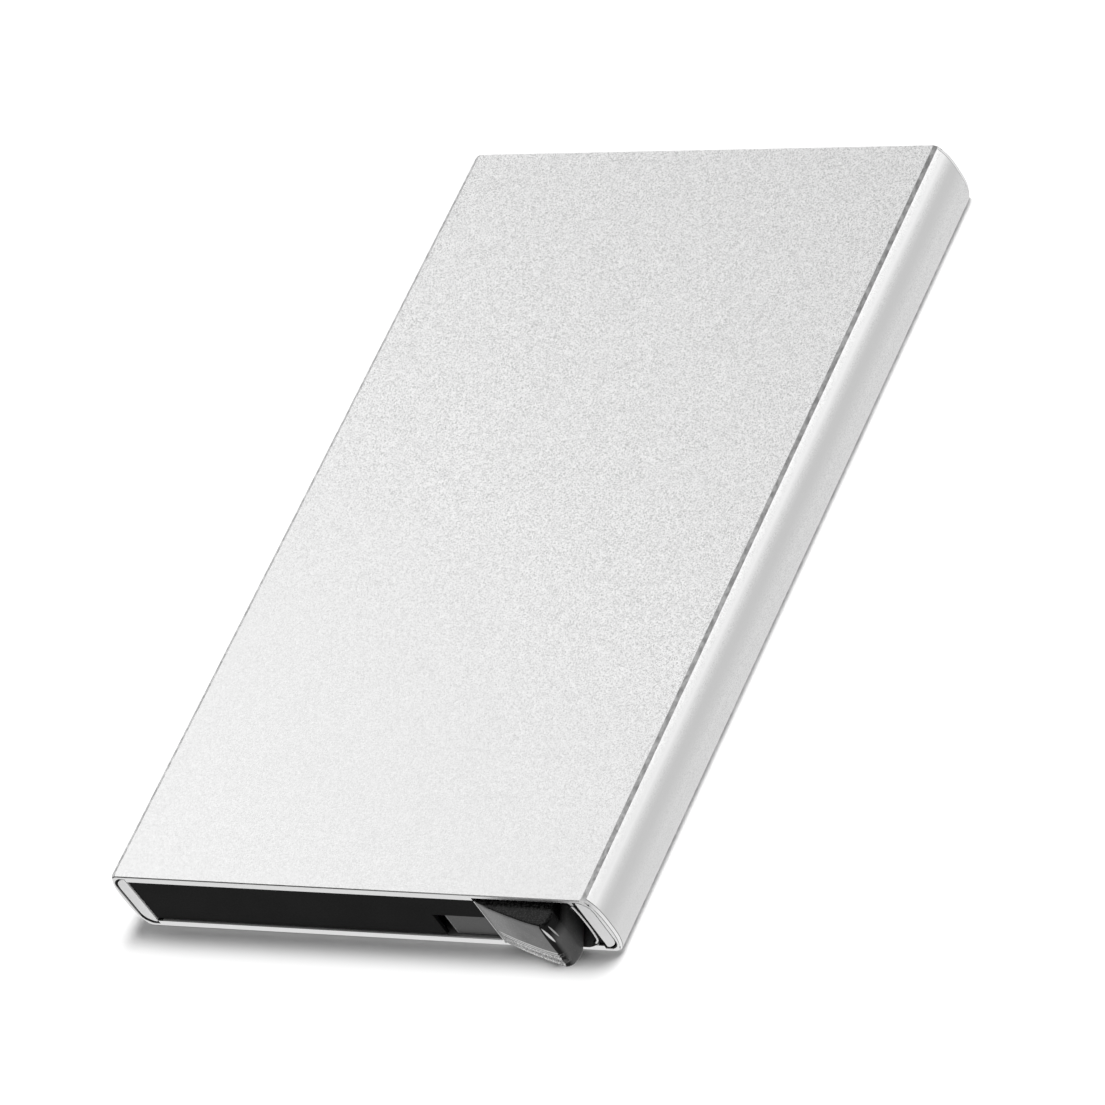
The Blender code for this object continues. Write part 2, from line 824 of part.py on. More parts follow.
def arm_outline(tip):
    """One step of the arm, from the hub to its own tip."""
    root = pivot.x - HUB_RADIUS * ARM_ROOT_SHARE
    return rounded(
        (
            (pivot.x, arm_top, 0),
            (tip, arm_top, TIP_TOP_RADIUS),
            (tip, arm_foot(tip), TIP_FOOT_RADIUS),
            (root, arm_foot(root), 0),
            (pivot.x, arm_foot(root), 0),
        )
    )


def stem_outline():
    """Stem through the slot and tongue in the thumb cap, counter-clockwise."""
    return [
        (pocket_left + along * fin_length, lever_end - outward * FIN_REACH)
        for along, outward in STEM_SHARES
    ]


def skirt_outline():
    """Skirt that closes the slot: flat outside, and rounded where it goes behind the plate."""
    return rounded(
        (
            (skirt_left, skirt_back, 0),
            (skirt_left, skirt_face, SKIRT_CORNER),
            (skirt_right, skirt_face, 0),
            (skirt_right, skirt_back, 0),
        )
    )


def leg_direction():
    """Way that the moving leg leaves the coil."""
    return Vector((-math.cos(MOVING_LEG_LIFT), math.sin(MOVING_LEG_LIFT)))


def moving_leg_line():
    """Start and end of the moving leg, in X and Y."""
    turn = math.radians(270) - MOVING_LEG_LIFT
    start = Vector(polar(SPRING_RADIUS, turn))
    return start, start + leg_direction() * MOVING_LEG_LENGTH


def leg_groove():
    """Cutter for the arm's groove that the moving leg lies in."""
    start, end = moving_leg_line()
    along = leg_direction()
    across = Vector((along.y, -along.x)) * (SPRING_WIRE / 2 + LEG_ROOM)
    end = end + along * (LEG_ROOM + SPRING_WIRE)
    outline = [tuple(p) for p in (start + across, end + across, end - across, start - across)]
    return prism("leg_groove", outline, spring_floor, lever_high + OVERRUN)


def step_cutter(step):
    """Takes the arm away beyond the tip of one step, above the step behind it."""
    tip = arm_outline(arm_tip + step * STEP_REACH)[1:-2]
    beyond = arm_tip - OVERRUN
    above = arm_top + OVERRUN
    below = tip[-1][1] - OVERRUN
    outline = [(beyond, above), (tip[0][0], above), *tip, (tip[-1][0], below), (beyond, below)]
    step_height = (lever_high - lever_low) / STEP_COUNT
    return prism("beyond_tip", outline, lever_low + step * step_height, lever_high + OVERRUN)


def make_lever(material):
    """Hub, stepped arm, skirt that closes the slot, and stem that carries the thumb cap."""
    lever = cylinder("eject_lever", pivot, HUB_RADIUS, lever_low, lever_high)
    join(lever, prism("arm", arm_outline(arm_tip), lever_low, lever_high))
    cut(lever, *[step_cutter(step) for step in range(1, STEP_COUNT)])
    web = [tuple(pivot[:2]), *arc(web_radius, skirt_start, WEB_END)]
    join(lever, prism("web", web, lever_low, stem_high))
    join(lever, prism("skirt", skirt_outline(), skirt_low, stem_high))
    join(lever, prism("stem", stem_outline(), lever_low, stem_high))
    room = cylinder(
        "spring_room",
        pivot,
        SPRING_RADIUS + SPRING_WIRE / 2 + SPRING_ROOM,
        spring_floor,
        lever_high + OVERRUN,
    )
    window_inside = SPRING_RADIUS
    window_outside = HUB_RADIUS + OVERRUN
    window = prism(
        "window",
        arc(window_outside, WINDOW_START, WINDOW_END)
        + arc(window_inside, WINDOW_END, WINDOW_START),
        spring_high - SPRING_WIRE - LEG_ROOM,
        lever_high + OVERRUN,
    )
    cut(lever, room, leg_groove(), window)
    tube = cylinder("tube", pivot, SPRING_TUBE_RADIUS, lever_low, lever_high)
    join(lever, tube)
    bore = cylinder("bore", pivot, PIN_RADIUS + BORE_PLAY, -OVERRUN, cover_high + OVERRUN)
    cut(lever, bore)
    return finish(lever, "eject_lever", material, origin=pivot)


def drawn_in(outline, distance):
    """A counter-clockwise outline moved inwards, fading out towards the fin's thin left end."""
    result = []
    for i, (x, y) in enumerate(outline):
        back = outline[i - 1]
        ahead = outline[(i + 1) % len(outline)]
        along = Vector((ahead[0] - back[0], ahead[1] - back[1])).normalized()
        fade = min(1, max(0, x - pocket_left) / FIN_EDGE_FADE)
        result.append((x - along.y * distance * fade, y + along.x * distance * fade))
    return result


def fin_outline(reach, inset):
    """Outline of the thumb cap: ramp, tip, side, and the arc that clears the end plate."""
    ramp = smooth_line(FIN_RAMP_SHARES, FILLET_STEPS)
    tip = smooth_line(FIN_TIP_SHARES, FILLET_STEPS)
    outside = [
        (pocket_left + along * fin_length, lever_end - outward * reach)
        for along, outward in ramp[:-1] + tip
    ]
    head_y = lever_end + HEAD_DEPTH
    shoulder = polar(head_radius, HEAD_START)
    head = [(head_right, head_y, HEAD_CORNER_RADIUS), (shoulder[0], head_y, HEAD_CORNER_RADIUS)]
    head = rounded([(*outside[-1], 0), *head, (*shoulder, 0)])[1:-1]
    left_end = math.atan2(-pivot_inset, pocket_left - pivot.x)
    return drawn_in(outside + head + arc(head_radius, HEAD_START, left_end)[:-1], inset)


def ridges(low, pitch, count):
    """Height and reach of ridges one above the other, each with its long slope at the rear."""
    stations = []
    for i in range(count):
        foot = low + i * pitch
        stations.append((foot, FIN_REACH - FIN_RIB_DEPTH))
        stations.append((foot + pitch * FIN_RIB_SLOPE_SHARE, FIN_REACH))
    return stations


def fin_stations():
    """Height, reach and inset of the thumb cap's outline, from the rear edge to the front edge."""
    edge = []
    for i in range(FIN_EDGE_STEPS + 1):
        turn = math.radians(90) * i / FIN_EDGE_STEPS
        up = FIN_EDGE_RADIUS * (1 - math.cos(turn))
        edge.append((up, FIN_EDGE_RADIUS * (1 - math.sin(turn))))
    ribs_low = fin_low + FIN_EDGE_RADIUS + FIN_LINE_WIDTH
    line_low = fin_low + FIN_LINE_HEIGHT
    rib_pitch = (line_low - ribs_low) / (FIN_RIBS + 1)
    heights = [(fin_low + up, FIN_REACH, inset) for up, inset in edge]
    relief = ridges(ribs_low, rib_pitch, FIN_RIBS) + ridges(line_low, FIN_LINE_WIDTH, FIN_LINES)
    heights += [(height, reach, 0) for height, reach in relief]
    heights += [(line_low + FIN_LINE_WIDTH * FIN_LINES, FIN_REACH - FIN_RIB_DEPTH, 0)]
    heights += [(fin_high - up, FIN_REACH, inset) for up, inset in reversed(edge)]
    stations = []
    for height, reach, inset in heights:
        fall = (1 - FIN_FRONT_SHARE) * (height - fin_low) / (fin_high - fin_low)
        stations.append((height, reach * (1 - fall), inset))
    return stations


def make_thumb_cap(material, lever):
    """Shark-fin piece over the lever's tongue, with rounded edges at the front and the rear."""
    rings = []
    for height, reach, inset in fin_stations():
        rings.append([(x, y, height) for x, y in fin_outline(reach, inset)])
    cap = lofted("thumb_cap", rings)
    socket = prism(
        "socket", grown(stem_outline(), SEAT_GAP), lever_low - SEAT_GAP, stem_high + SEAT_GAP
    )
    cut(cap, socket)
    finish(cap, "thumb_cap", material, origin=pivot)
    cap.parent = lever
    cap.location = (0, 0, 0)
    return cap


def make_pin(material):
    """Pin with a flange under the tray's floor, up into the cover."""
    flange_top = tray_low + PIN_FLANGE_THICKNESS
    end = cover_high - SCREW_SINK
    profile = (
        (0, tray_low),
        (PIN_FLANGE_RADIUS, tray_low),
        (PIN_FLANGE_RADIUS, flange_top),
        (PIN_RADIUS, flange_top),
        (PIN_RADIUS, end - RIM_BREAK),
        (PIN_RADIUS - RIM_BREAK, end),
        (0, end),
    )
    return finish(turned("pivot_pin", profile, pivot), "pivot_pin", material)


def spring_points():
    """The wire's middle line: moving leg, coil and fixed leg."""
    start, end = moving_leg_line()
    points = [(*end, spring_low), (*((start + end) / 2), spring_low)]
    first = math.radians(270) - MOVING_LEG_LIFT
    last = math.radians(270) + math.tau * spring_turns
    steps = spring_turns * SPRING_TURN_POINTS
    for i in range(steps + 1):
        share = i / steps
        place = polar(SPRING_RADIUS, first + (last - first) * share)
        points.append((*place, spring_low + (spring_high - spring_low) * share))
    for share in (0.5, 1):
        reach = FIXED_LEG_LENGTH * share
        points.append((pivot.x + reach, pivot.y - SPRING_RADIUS, spring_high))
    return [Vector(point) for point in points]


def report_least_gap(points):
    """Prints the least clear distance between one turn of the spring and another."""
    far_enough = SPRING_TURN_POINTS // 2
    least = min(
        (a - b).length for i, a in enumerate(points) for b in points[i + far_enough :]
    )
    print("least gap between turns of the spring, m:", round(least - SPRING_WIRE, 6))


def make_spring(material):
    points = spring_points()
    report_least_gap(points)
    curve = bpy.data.curves.new("return_spring", "CURVE")
    curve.dimensions = "3D"
    curve.bevel_depth = SPRING_WIRE / 2
    curve.bevel_resolution = 1
    curve.use_fill_caps = True
    line = curve.splines.new("POLY")
    line.points.add(len(points) - 1)
    for target, point in zip(line.points, points):
        target.co = (*(point - pivot), 1)
    curve.materials.append(material)
    spring = bpy.data.objects.new("return_spring", curve)
    spring.location = pivot
    bpy.context.scene.collection.objects.link(spring)
    return spring


def main():
    clear_scene()
    aluminium = make_material("sand_blasted_aluminium", (0.83, 0.83, 0.84), 0.45, 1)
    light_plastic = make_material("light_grey_plastic", (0.72, 0.72, 0.73), 0.5, 0)
    black_plastic = make_material("matt_black_plastic", (0.014, 0.014, 0.014), 0.6, 0)
    grey_plastic = make_material("grey_lever_plastic", (0.07, 0.07, 0.072), 0.5, 0)
    gloss_plastic = make_material("gloss_black_plastic", (0.02, 0.02, 0.02), 0.25, 0)
    rubber = make_material("strip_rubber", (0.02, 0.02, 0.02), 0.8, 0)
    steel = make_material("plain_steel", (0.6, 0.6, 0.6), 0.3, 1)
    make_sleeve(aluminium)
    for name, side in (("left", -1), ("right", 1)):
        make_rail("side_rail_" + name, side, light_plastic)
        make_friction_strip("friction_strip_" + name, side, rubber)
    make_end_cap(black_plastic)
    make_cover(black_plastic)
    for name, place in screw_places.items():
        make_screw(name, place, steel)
    lever = make_lever(grey_plastic)
    make_thumb_cap(gloss_plastic, lever)
    make_pin(steel)
    make_spring(steel)


main()
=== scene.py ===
"""Looks of the pop-up card holder: finishes, fine forms, floor, light and the photograph's camera.

Metres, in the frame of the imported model: +Y from the lever end to the mouth, +X the side of the
lever, +Z out of the front face. The holder lies on the floor on its rear face.
"""

import json
import math

import bmesh
import bpy
from mathutils import Matrix, Vector


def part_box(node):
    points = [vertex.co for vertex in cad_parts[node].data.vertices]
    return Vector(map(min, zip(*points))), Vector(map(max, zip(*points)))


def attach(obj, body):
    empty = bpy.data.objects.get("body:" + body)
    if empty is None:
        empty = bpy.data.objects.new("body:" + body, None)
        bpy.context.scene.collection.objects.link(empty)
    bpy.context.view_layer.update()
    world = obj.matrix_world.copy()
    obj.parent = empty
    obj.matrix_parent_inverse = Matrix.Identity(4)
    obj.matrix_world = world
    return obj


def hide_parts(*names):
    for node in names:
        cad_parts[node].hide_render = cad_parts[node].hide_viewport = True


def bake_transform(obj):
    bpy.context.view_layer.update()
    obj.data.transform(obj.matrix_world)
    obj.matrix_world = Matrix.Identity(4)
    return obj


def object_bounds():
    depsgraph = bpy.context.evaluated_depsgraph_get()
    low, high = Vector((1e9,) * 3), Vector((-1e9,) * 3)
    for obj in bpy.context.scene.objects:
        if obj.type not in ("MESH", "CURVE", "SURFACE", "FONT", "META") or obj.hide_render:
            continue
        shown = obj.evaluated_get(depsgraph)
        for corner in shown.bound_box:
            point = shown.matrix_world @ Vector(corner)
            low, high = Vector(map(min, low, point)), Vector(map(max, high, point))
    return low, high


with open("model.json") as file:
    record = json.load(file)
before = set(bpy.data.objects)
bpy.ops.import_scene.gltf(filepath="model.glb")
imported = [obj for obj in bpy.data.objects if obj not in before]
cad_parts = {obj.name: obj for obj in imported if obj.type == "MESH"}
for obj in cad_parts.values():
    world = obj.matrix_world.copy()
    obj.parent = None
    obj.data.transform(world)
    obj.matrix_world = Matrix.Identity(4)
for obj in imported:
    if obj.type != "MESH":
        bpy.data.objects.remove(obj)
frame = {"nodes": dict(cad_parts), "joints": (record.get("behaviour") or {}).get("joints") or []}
cad_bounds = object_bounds()

# Camera of the photograph
EYE = Vector((0.46968, -0.39301, 0.50517))
LOOKS_AT = Vector((0.002145, -0.002635, 0.00425))
ROLL = math.radians(-36.2304)
LENS = 243.525
SENSOR = 36

# Floor: its grey, and its glow in what mirrors it, close to the holder and further away
FLOOR_SIZE = 6
FLOOR_GAP = 0.00005
FLOOR_SEEN = 0.92
FLOOR_ROUGHNESS = 0.9
GLOW_NEAR = 0.84
GLOW_FAR = 0.68
GLOW_REACH = 0.05

# Sky: its strength in the camera's view, and as a light
SKY_SEEN = 1.0
SKY_LIGHT = 0.24
WHITE = (1, 1, 1, 1)

# Each softbox: name, place, what it looks at, width and height, and its radiance
SOFTBOXES = (
    ("box_back", (-1.8, 1.5, 1.9), (0, 0, 0), (3, 3), 0.6),
    ("box_left", (-0.56, 0.1, 0.42), (0, 0, 0), (0.6, 0.6), 0.66),
    ("box_right", (0.75, 0.45, 0.28), (0, 0, 0.02), (0.8, 0.6), 1.5),
    ("box_front", (0.05, -0.8, 0.35), (0, 0, 0), (0.7, 0.4), 1.5),
    ("box_top", (0, 0, 1.9), (0, 0, 0), (1.2, 1.2), 0.6),
)
FLOOR_LIGHT = ("floor_light", (0.42, 0.56, 2.1), (0, 0, 0), (0.8, 0.8), 26)

# Sizes of grain, patches and clouds, depths of bumps, and scales along each axis
BLAST_GRAIN = 0.0002
BLAST_SPECK = 0.0001
BLAST_DEPTH = 0.00002
MOULD_GRAIN = 0.0002
MOULD_DEPTH = 0.000008
SCRATCH = 0.0002
SCRATCH_DEPTH = 0.000004
SCRATCH_SCALE = (1, 1, 8)
FACET_PATCH = 0.00045
FACET_SCALE = (1, 0.6, 1)
SMALL_CLOUD = 0.004
LARGE_CLOUD = 0.006

# Values of a noise or speck at which its effect starts and is full
HARD_NOISE = (0.35, 0.65)
SOFT_NOISE = (0.3, 0.7)
EDGE_PATCH_NOISE = (0.3, 0.5)
FRONT_NOISE = (0.45, 0.65)
RIB_NOISE = (0.42, 0.55)
LIGHT_SPECK = (0.5, 1)
DARK_SPECK = (0.5, 0)

# Bright edges, partly wear and partly a painted highlight: their width, and how alike the two
# normals are where the brightening starts and is full
BRIGHT_EDGE_WIDTH = 0.00012
BRIGHT_EDGE_TURN = (0.98, 0.92)
EDGE_SAMPLES = 4

# How much the sleeve's surface looks up or out of an end, where a tone starts and is full; most
# tones are painted light or shade
FACE_LOOK = (0.8, 0.95)
FLANK_LOOK = (0.85, 0.7)
RIM_LOOK = (0.96, 0.98)
# The same for painted tones of light and shade with two borders
FACET_LOOK = ((0.985, 0.955), (0.7, 0.85))
FRONT_BREAK_LOOK = ((0.45, 0.6), (0.93, 0.9))
SIDE_BREAK_LOOK = ((0.2, 0.28), (0.5, 0.4))

# Rail channels, where shade is painted: inner and outer side, wall over them, and limit of side
# and height together
CHANNEL_START = 0.0283
CHANNEL_SIDE = 0.03086
CHANNEL_DEPTH = 0.00042
CHANNEL_CORNER = 0.0344
MIDDLE_HEIGHT = cad_bounds[1][2] / 2

# The grain fades along a slanted line towards the lever end, and on the sides
FADE_SLANT = 0.6
FADE_START = -0.038
FADE_END = -0.004
FADE_LEAST = 0.1
FADE_SIDES = 0.4

# Painted lit and shaded bands along the sides, standing in for their reflection: heights at which
# each starts and is full, from above and from below
LIT_BAND = ((0.0079, 0.0073), (0.0065, 0.0073))
SHADED_BAND = ((0.0066, 0.0058), (0.003, 0.005))

# Broken rims, with painted shade on the front and a painted highlight between painted dark lines
# on the sides: length along the sides, fine lines at both borders, and change across the front
SLEEVE_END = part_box("sleeve")[1].y
RIM_LENGTH = 0.00045
RIM_LINE = 0.00008
BREAK_FADE = 0.02

# Greys of the aluminium, from 0 to 1, and shares of those that are mixed in only partly
GRAIN_DARK = 0.81
GRAIN_LIGHT = 0.89
SPECK_LIGHT = 1.0
SPECK_DARK = 0.45
SPECK_DARK_SHARE = 0.9
FADED_GREY = 0.79
CLOUD_GREY = 0.82
CLOUD_SHARE = 0.12
# From here on, greys of painted light and shade; the edge grey is partly wear and partly a painted
# highlight
LIT_GREY = 0.95
SHADED_GREY = 0.7
EDGE_GREY = 0.99
EDGE_SHARE = 0.9
FACET_DARK = 0.5
FACET_LIGHT = 0.88
FRONT_BREAK_LEFT_GREY = 0.26
FRONT_BREAK_RIGHT_GREY = 0.6
SIDE_BREAK_GREY = 0.98
SIDE_BREAK_LINE_GREY = 0.3
CHANNEL_SHADE_GREY = 0.03
RIM_GREY = 0.88
RIM_EDGE_GREY = 1.0

# Least and greatest roughness of the aluminium, and strength of its bumps
BLAST_ROUGHNESS = (0.36, 0.5)
BLAST_BUMP = 0.6

# Steel: darkest and lightest grey, grey of its edges, and least and greatest roughness
STEEL_DARK = 0.5
STEEL_LIGHT = 0.68
STEEL_EDGE = 0.85
STEEL_ROUGHNESS = (0.2, 0.36)

# Mouldings: how far the roughness varies, the painted shade in the end cap's pocket and slot, and
# the painted highlight on the lever's skirt
ROUGHNESS_PLAY = 0.06
PLATE_LIT = 0.0006
POCKET_SHADE_BLACK = 0.0005
SKIRT_EDGE_LOOK = (-0.2, -0.4)
SKIRT_HIGHLIGHT_GREY = 0.6

# Thumb cap, with light and shade painted by where its surface looks: where it looks in each of its
# places, and that place's heights and greys
CAP_FRONT_LOOK = (0.7, 0.9)
CAP_FRONT_GREY = 0.04
CAP_SIDE_LOOK = (0.5, 0.85)
TIP_TOP = 0.0062
TIP_MIDDLE = 0.0048
RAMP_LEFT_LOOK = (0, -0.1)
RAMP_OUT_LOOK = (-0.6, -0.8)
RIB_LEFT_LOOK = (0.15, 0)
RIB_OUT_LOOK = (-0.3, -0.5)
RIB_UPPER_LOOK = (0.05, 0.1)
RIB_LOWER_LOOK = (0, -0.05)
RIB_TOP = 0.00305
RIB_LEAST = 0.15
RIB_LIGHT = 0.75
RIB_DARK = 0.03
LINE_FOOT = 0.0023
LEFT_EDGE_WIDTH = 0.0002
LEFT_EDGE_HIGHLIGHT_GREY = 0.85

# Painted light and shade at the thumb cap's crease, a dark line and two highlights: both ends of
# each, half its greatest width, and its grey
CREASE_LIGHT_AND_SHADE = (
    (Vector((0.02562, -0.05261, 0.00735)), Vector((0.02566, -0.05283, 0.0018)), 0.00012, 0.001),
    (Vector((0.02582, -0.05261, 0.0072)), Vector((0.02624, -0.05247, 0.0044)), 0.00016, 0.9),
    (Vector((0.02642, -0.05218, 0.0071)), Vector((0.02658, -0.05192, 0.0047)), 0.0001, 0.5),
)
LENS_BORDER_SHARE = 0.25

# Friction strips
STRIP_RIBS = 5
STRIP_RIB_STEPS = 20
STRIP_RIB_DEPTH = 0.0003
STRIP_SEAT = 0.00095
STRIP_TAPER = 0.003
STRIP_TAPER_STEPS = 6

# Return spring: its legs start from the side of the coil that looks along -Y
WIRE_RADIUS = 0.00025
WIRE_SIDES = 14
COIL_RADIUS = 0.002
COIL_TURNS = 3
COIL_TURN_STEPS = 40
LEG_SIDE = math.radians(270)
MOVING_LEG_LIFT = math.radians(25)
MOVING_LEG_LENGTH = 0.007
FIXED_LEG_LENGTH = 0.0054

# Thin light tube on the pocket's rim, a painted highlight
POCKET_HIGHLIGHT_RADIUS = 0.00011
POCKET_HIGHLIGHT_SIDES = 10
POCKET_HIGHLIGHT_BORDER = 0.0003
POCKET_HIGHLIGHT_STAND = 0.00003
POCKET_HIGHLIGHT_DECIMALS = 6
# The pocket's front corner is at least this many times as high as the foot of the end cap
POCKET_HIGHLIGHT_FRONT_SHARE = 3

# Distances that count as none
FLAT = 0.00001
WELD = 0.000001

# Least angle of an edge that stays sharp
SLEEVE_EDGE = math.radians(12)
OTHER_EDGE = math.radians(32)

# Places of the colours among the sockets of a mix node
MIX_FIRST = 6
MIX_SECOND = 7
MIX_RESULT = 2


def plain_view():
    """Shows the colours as they are rendered."""
    settings = bpy.context.scene.view_settings
    settings.view_transform = "Standard"
    settings.look = "None"


class Paint:
    """A material under construction. Most calls add nodes and give their output."""

    def __init__(self, name):
        self.material = bpy.data.materials.new(name + "_finish")
        self.material.use_nodes = True
        self.tree = self.material.node_tree
        self.shader = self.tree.nodes["Principled BSDF"]
        self.place = self.add("ShaderNodeTexCoord").outputs["Object"]

    def add(self, kind, inputs=(), **settings):
        node = self.tree.nodes.new(kind)
        for name, value in settings.items():
            setattr(node, name, value)
        for name, value in dict(inputs).items():
            self.feed(node.inputs[name], value)
        return node

    def feed(self, socket, value):
        if isinstance(value, bpy.types.NodeSocket):
            self.tree.links.new(value, socket)
        else:
            socket.default_value = value

    def set(self, **inputs):
        """Feeds the shader. An input's name is written with _ for each space."""
        for name, value in inputs.items():
            title = name.replace("_", " ").title().replace("Ior", "IOR")
            self.feed(self.shader.inputs[title], value)
        return self

    def scaled(self, scale):
        """The piece's own coordinates, scaled along each axis."""
        node = self.add("ShaderNodeMapping", {"Vector": self.place, "Scale": scale})
        return node.outputs["Vector"]

    def along(self, axis):
        """The piece's own coordinate along one axis."""
        return self.add("ShaderNodeSeparateXYZ", {"Vector": self.place}).outputs[axis]

    def noise(self, size, detail=2, roughness=0.5, vector=None):
        """Noise with features of about this size in metres."""
        inputs = {
            "Vector": vector or self.place,
            "Scale": 1 / size,
            "Detail": detail,
            "Roughness": roughness,
        }
        return self.add("ShaderNodeTexNoise", inputs).outputs["Fac"]

    def specks(self, size):
        """A value of its own for each grain of this size in metres."""
        inputs = {"Vector": self.place, "Scale": 1 / size}
        colour = self.add("ShaderNodeTexVoronoi", inputs).outputs["Color"]
        return self.add("ShaderNodeSeparateColor", {"Color": colour}).outputs["Red"]

    def spread(self, value, low, high, start=0.0, end=1.0):
        """Maps low..high to start..end, and holds the ends."""
        inputs = {
            "Value": value,
            "From Min": low,
            "From Max": high,
            "To Min": start,
            "To Max": end,
        }
        return self.add("ShaderNodeMapRange", inputs).outputs["Result"]

    def between(self, value, one_border, other_border):
        """1 between two borders, each given by where it starts and where it is full."""
        return self.product(self.spread(value, *one_border), self.spread(value, *other_border))

    def maths(self, operation, first, second=0.0):
        node = self.add("ShaderNodeMath", operation=operation)
        self.feed(node.inputs[0], first)
        self.feed(node.inputs[1], second)
        return node.outputs["Value"]

    def absolute(self, value):
        return self.maths("ABSOLUTE", value)

    def product(self, first, *others):
        for other in others:
            first = self.maths("MULTIPLY", first, other)
        return first

    def vector(self, operation, first, second, output="Vector"):
        node = self.add("ShaderNodeVectorMath", operation=operation)
        self.feed(node.inputs[0], first)
        self.feed(node.inputs[1], second)
        return node.outputs[output]

    def blend(self, share, first, second):
        """One colour where share is 0, the other where it is 1. A number is a grey."""
        node = self.add("ShaderNodeMix", data_type="RGBA")
        self.feed(node.inputs["Factor"], share)
        for place, colour in ((MIX_FIRST, first), (MIX_SECOND, second)):
            if not isinstance(colour, bpy.types.NodeSocket):
                colour = (colour, colour, colour, 1)
            self.feed(node.inputs[place], colour)
        return node.outputs[MIX_RESULT]

    def bump(self, height, distance, strength=1.0):
        inputs = {"Height": height, "Distance": distance, "Strength": strength}
        return self.add("ShaderNodeBump", inputs).outputs["Normal"]

    def looks(self, kind="Normal"):
        """The direction in which the surface looks, in the piece's own axes, as X, Y and Z."""
        normal = self.add("ShaderNodeNewGeometry").outputs[kind]
        settings = {"vector_type": "NORMAL", "convert_from": "WORLD", "convert_to": "OBJECT"}
        turned = self.add("ShaderNodeVectorTransform", {"Vector": normal}, **settings)
        parts = self.add("ShaderNodeSeparateXYZ", {"Vector": turned.outputs["Vector"]})
        return parts.outputs

    def edges(self):
        """1 at the edges of the piece, and 0 further away than the width of the bright edge band.
        """
        bevel = self.add("ShaderNodeBevel", {"Radius": BRIGHT_EDGE_WIDTH}, samples=EDGE_SAMPLES)
        plain = self.add("ShaderNodeNewGeometry").outputs["Normal"]
        alike = self.vector("DOT_PRODUCT", bevel.outputs["Normal"], plain, "Value")
        return self.spread(alike, *BRIGHT_EDGE_TURN)

    def lens(self, start, end, width):
        """1 in a slender lens from start to end, and 0 outside it."""
        way = end - start
        offset = self.vector("SUBTRACT", self.place, (start + end) / 2)
        share = self.vector("DOT_PRODUCT", offset, way * 2 / way.length_squared, "Value")
        forward = self.vector("DOT_PRODUCT", offset, way.normalized(), "Value")
        length = self.vector("DOT_PRODUCT", offset, offset, "Value")
        apart = self.maths("SUBTRACT", length, self.maths("POWER", forward, 2))
        room = self.maths("SUBTRACT", 1, self.maths("POWER", share, 2))
        reach = self.product(self.maths("MAXIMUM", room), width)
        distance = self.maths("SQRT", self.maths("MAXIMUM", apart))
        inside = self.maths("SUBTRACT", reach, distance)
        return self.spread(inside, 0, width * LENS_BORDER_SHARE)


def blasted(paint, grain, fade):
    """Sand-blasted grain with light and dark specks and a slight cloud."""
    specks = paint.specks(BLAST_SPECK)
    cloud = paint.spread(paint.noise(LARGE_CLOUD, detail=3), *SOFT_NOISE, 0, CLOUD_SHARE)
    tone = paint.blend(paint.spread(grain, *HARD_NOISE), GRAIN_DARK, GRAIN_LIGHT)
    tone = paint.blend(paint.spread(specks, *LIGHT_SPECK), tone, SPECK_LIGHT)
    dark = paint.spread(specks, *DARK_SPECK, 0, SPECK_DARK_SHARE)
    tone = paint.blend(dark, tone, SPECK_DARK)
    return paint.blend(cloud, paint.blend(fade, FADED_GREY, tone), CLOUD_GREY)


def painted_side_bands(paint, upward, tone):
    """A painted lit band and a painted shaded band along the sides, standing in for their
    reflection.
    """
    flank = paint.spread(upward, *FLANK_LOOK)
    height = paint.along("Z")
    tone = paint.blend(paint.product(flank, paint.between(height, *LIT_BAND)), tone, LIT_GREY)
    shaded = paint.product(flank, paint.between(height, *SHADED_BAND))
    return paint.blend(shaded, tone, SHADED_GREY)


def faceted(paint, upward, tone):
    """Painted dark reflection, mottled by noise, on the facets between the faces and the sides."""
    facet = paint.between(upward, *FACET_LOOK)
    patches = paint.noise(FACET_PATCH, detail=3, vector=paint.scaled(FACET_SCALE))
    mottled = paint.blend(paint.spread(patches, *HARD_NOISE), FACET_DARK, FACET_LIGHT)
    return paint.blend(facet, tone, mottled)


def broken(paint, outward, tone):
    """Broken rims: painted shade on the faces, darker on the left, and a painted highlight between
    two painted dark lines on the sides.
    """
    front = paint.between(outward, *FRONT_BREAK_LOOK)
    across = paint.spread(paint.along("X"), 0, BREAK_FADE)
    front_grey = paint.blend(across, FRONT_BREAK_LEFT_GREY, FRONT_BREAK_RIGHT_GREY)
    tone = paint.blend(front, tone, front_grey)
    side = paint.between(outward, *SIDE_BREAK_LOOK)
    end = paint.maths("SUBTRACT", paint.absolute(paint.along("Y")), SLEEVE_END - RIM_LENGTH)
    middle = paint.absolute(paint.maths("SUBTRACT", end, RIM_LENGTH / 2))
    border = RIM_LENGTH / 2 - RIM_LINE
    line = paint.spread(middle, border, border + FLAT)
    side_grey = paint.blend(line, SIDE_BREAK_GREY, SIDE_BREAK_LINE_GREY)
    return paint.blend(side, tone, side_grey)


def channel(paint):
    """1 in the rail channels of the sleeve, and 0 elsewhere."""
    side = paint.absolute(paint.along("X"))
    height = paint.absolute(paint.maths("SUBTRACT", paint.along("Z"), MIDDLE_HEIGHT))
    deep = MIDDLE_HEIGHT - CHANNEL_DEPTH
    return paint.product(
        paint.spread(side, CHANNEL_START, CHANNEL_START + FLAT),
        paint.spread(side, CHANNEL_SIDE + FLAT, CHANNEL_SIDE),
        paint.spread(height, deep + FLAT, deep),
        paint.spread(paint.maths("ADD", side, height), CHANNEL_CORNER + FLAT, CHANNEL_CORNER),
    )


